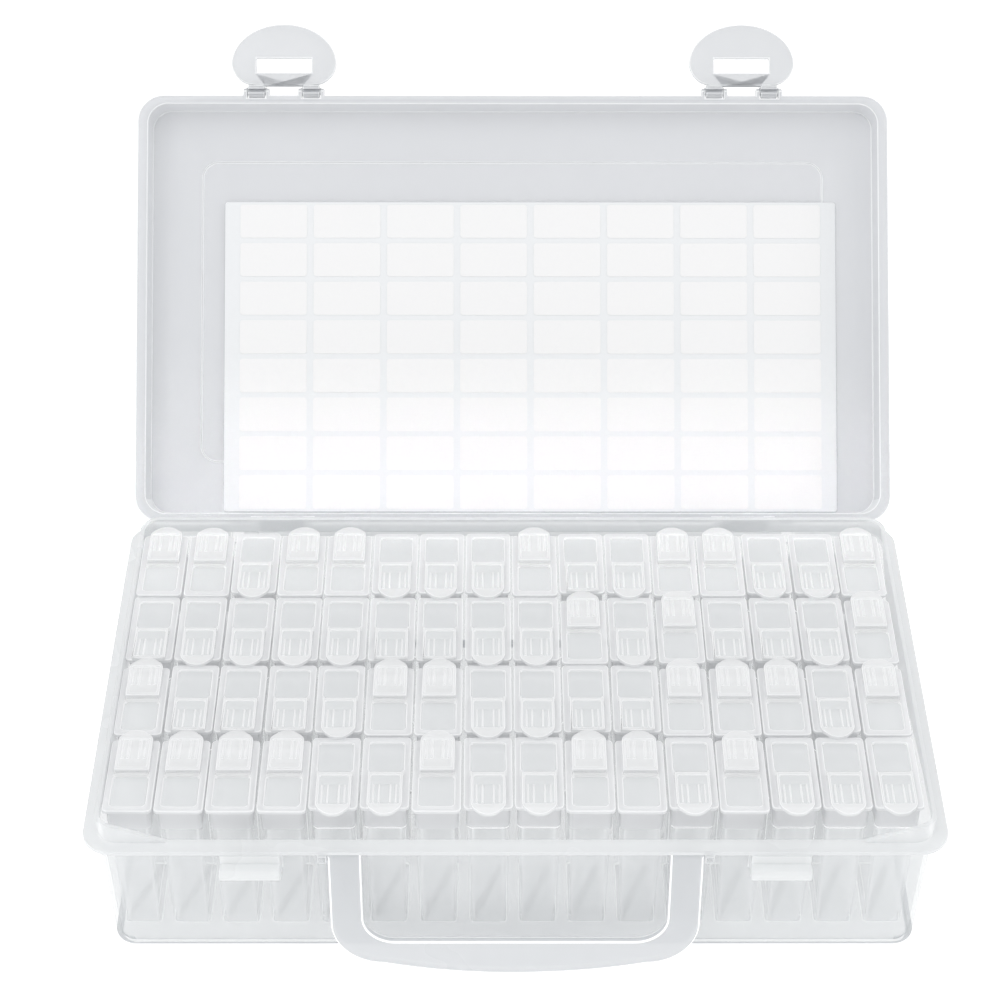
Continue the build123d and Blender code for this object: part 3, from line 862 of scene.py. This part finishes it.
def flip_flap(name, tab_tip):
    """A flap that faces the front, with its tab's tip at a distance from the vial's middle."""
    piece = block(name, FLAP_X, (TAB_ROOT, FLAP_HINGE), (FLAP_BOTTOM, FLAP_TOP))
    use(piece)
    bpy.ops.object.mode_set(mode="EDIT")
    choose(piece, "FACE", lambda face: face.normal.y < -FACING)
    to_the_tip = (0, tab_tip - TAB_ROOT, 0)
    bpy.ops.mesh.extrude_region_move(TRANSFORM_OT_translate={"value": to_the_tip})
    bpy.ops.transform.resize(value=(TAB_NARROWING, 1, 1), center_override=(0, tab_tip, 0))
    choose(piece, "EDGE", on_tab)
    tab_round = min(WIDEST_TAB_ROUND, TAB_ROUND_SHARE * (TAB_ROOT - tab_tip))
    bpy.ops.mesh.bevel(offset=tab_round, segments=4, affect="EDGES")
    bpy.ops.object.mode_set(mode="OBJECT")
    window = block("window", WINDOW_X, WINDOW_Y, (FLAP_TOP - WINDOW_DEPTH, FLAP_TOP + CUT_PAST))
    round_corners(window, WINDOW_CORNER, 2)
    combine(piece, window, "DIFFERENCE")
    for middle in RIB_MIDDLES:
        rib_z = (FLAP_BOTTOM + INTO_FLAP, FLAP_TOP)
        combine(piece, block("rib", either_side(RIB_WIDTH, middle), RIB_Y, rib_z), "UNION")
    plug = block("plug", PLUG_X, PLUG_Y, (FLAP_BOTTOM - PLUG_DEPTH, FLAP_BOTTOM + INTO_FLAP))
    use(plug)
    bpy.ops.object.mode_set(mode="EDIT")
    choose(plug, "FACE", facing_down)
    bpy.ops.mesh.inset(thickness=PLUG_WALL)
    bpy.ops.mesh.extrude_region_move(TRANSFORM_OT_translate={"value": (0, 0, PLUG_HOLLOW)})
    bpy.ops.object.mode_set(mode="OBJECT")
    combine(piece, plug, "UNION")
    break_edges(piece, FLAP_EDGE_ROUND, 2, flap_plastic, vial_edge_highlight)
    return piece


flap_patterns = {name: flip_flap(f"flap_{name}", tip) for name, tip in TAB_TIPS.items()}
# Painted shade: only the windows of flaps that face the front get the darker colour.
for name in ("front", "front_short"):
    finish_faces(flap_patterns[name], thin_wall_painted_shade, on_floor_at(FLAP_TOP - WINDOW_DEPTH))


# Vials in the case
# Four rows of sixteen stand close together, their flaps turned to the front or to the rear.
# Each stands a hair out of line with its neighbours, as loose vials do.

FLAP_SIDES = ("RRFRRFFFRFFRRFFR", "FFFFFFFFFRFRFFFR", "RFFFFRRFFFFRRRFR", "RRRRFFRFFRRFRFFF")
COLUMN_PITCH = 13.7
ROW_PITCH = 28.1
GRID_SHIFT = -0.6
LOOSE_X = 0.1
LOOSE_Y = 0.12
LOOSE_TURN = 0.25
chance = random.Random(64)


def stand(pattern, place, name):
    """A copy of a vial's piece, stood at its place in the case."""
    one = bpy.data.objects.new(name, pattern.data.copy())
    one.data.transform(place)
    bpy.context.scene.collection.objects.link(one)
    return one


rows = len(FLAP_SIDES)
columns = len(FLAP_SIDES[0])
for row, sides in enumerate(FLAP_SIDES):
    row_name = f"row_{row + 1}"
    sides_ahead = FLAP_SIDES[row + 1] if row + 1 < rows else "F" * columns
    groups = {"bottles": [], "caps": [], "F": [], "R": []}
    for column, side in enumerate(sides):
        column_x = GRID_SHIFT + (column - (columns - 1) / 2) * COLUMN_PITCH
        row_y = ((rows - 1) / 2 - row) * ROW_PITCH
        spot = Vector((
            column_x + chance.uniform(-LOOSE_X, LOOSE_X),
            row_y + chance.uniform(-LOOSE_Y, LOOSE_Y),
            0,
        ))
        turn = math.radians(chance.uniform(-LOOSE_TURN, LOOSE_TURN))
        place = Matrix.Translation(spot) @ Matrix.Rotation(turn, 4, "Z")
        turned = place if side == "F" else place @ Matrix.Rotation(math.pi, 4, "Z")
        groups["bottles"].append(stand(bottle, place, "bottle_copy"))
        groups["caps"].append(stand(cap, turned, "cap_copy"))
        # A tab is short where the vial ahead turns its own tab towards it.
        front_kind = "front_short" if sides_ahead[column] == "R" else "front"
        flap = flap_patterns[front_kind if side == "F" else "rear"]
        groups[side].append(stand(flap, turned, "flap_copy"))
    bottles = join(groups["bottles"], f"bead_bottles_{row_name}")
    settle(bottles, f"vials_{row_name}", "bottle_plastic", f"bottles_{row_name}")
    caps = join(groups["caps"], f"vial_caps_{row_name}")
    settle(caps, f"vials_{row_name}", "cap_plastic", f"caps_{row_name}")
    for side, word in (("F", "front"), ("R", "rear")):
        flaps = join(groups[side], f"vial_flaps_{word}_{row_name}")
        settle(flaps, f"flaps_{word}_{row_name}", "flap_plastic", f"flaps_{word}_{row_name}")
for pattern in (bottle, cap, *flap_patterns.values()):
    bpy.data.objects.remove(pattern)
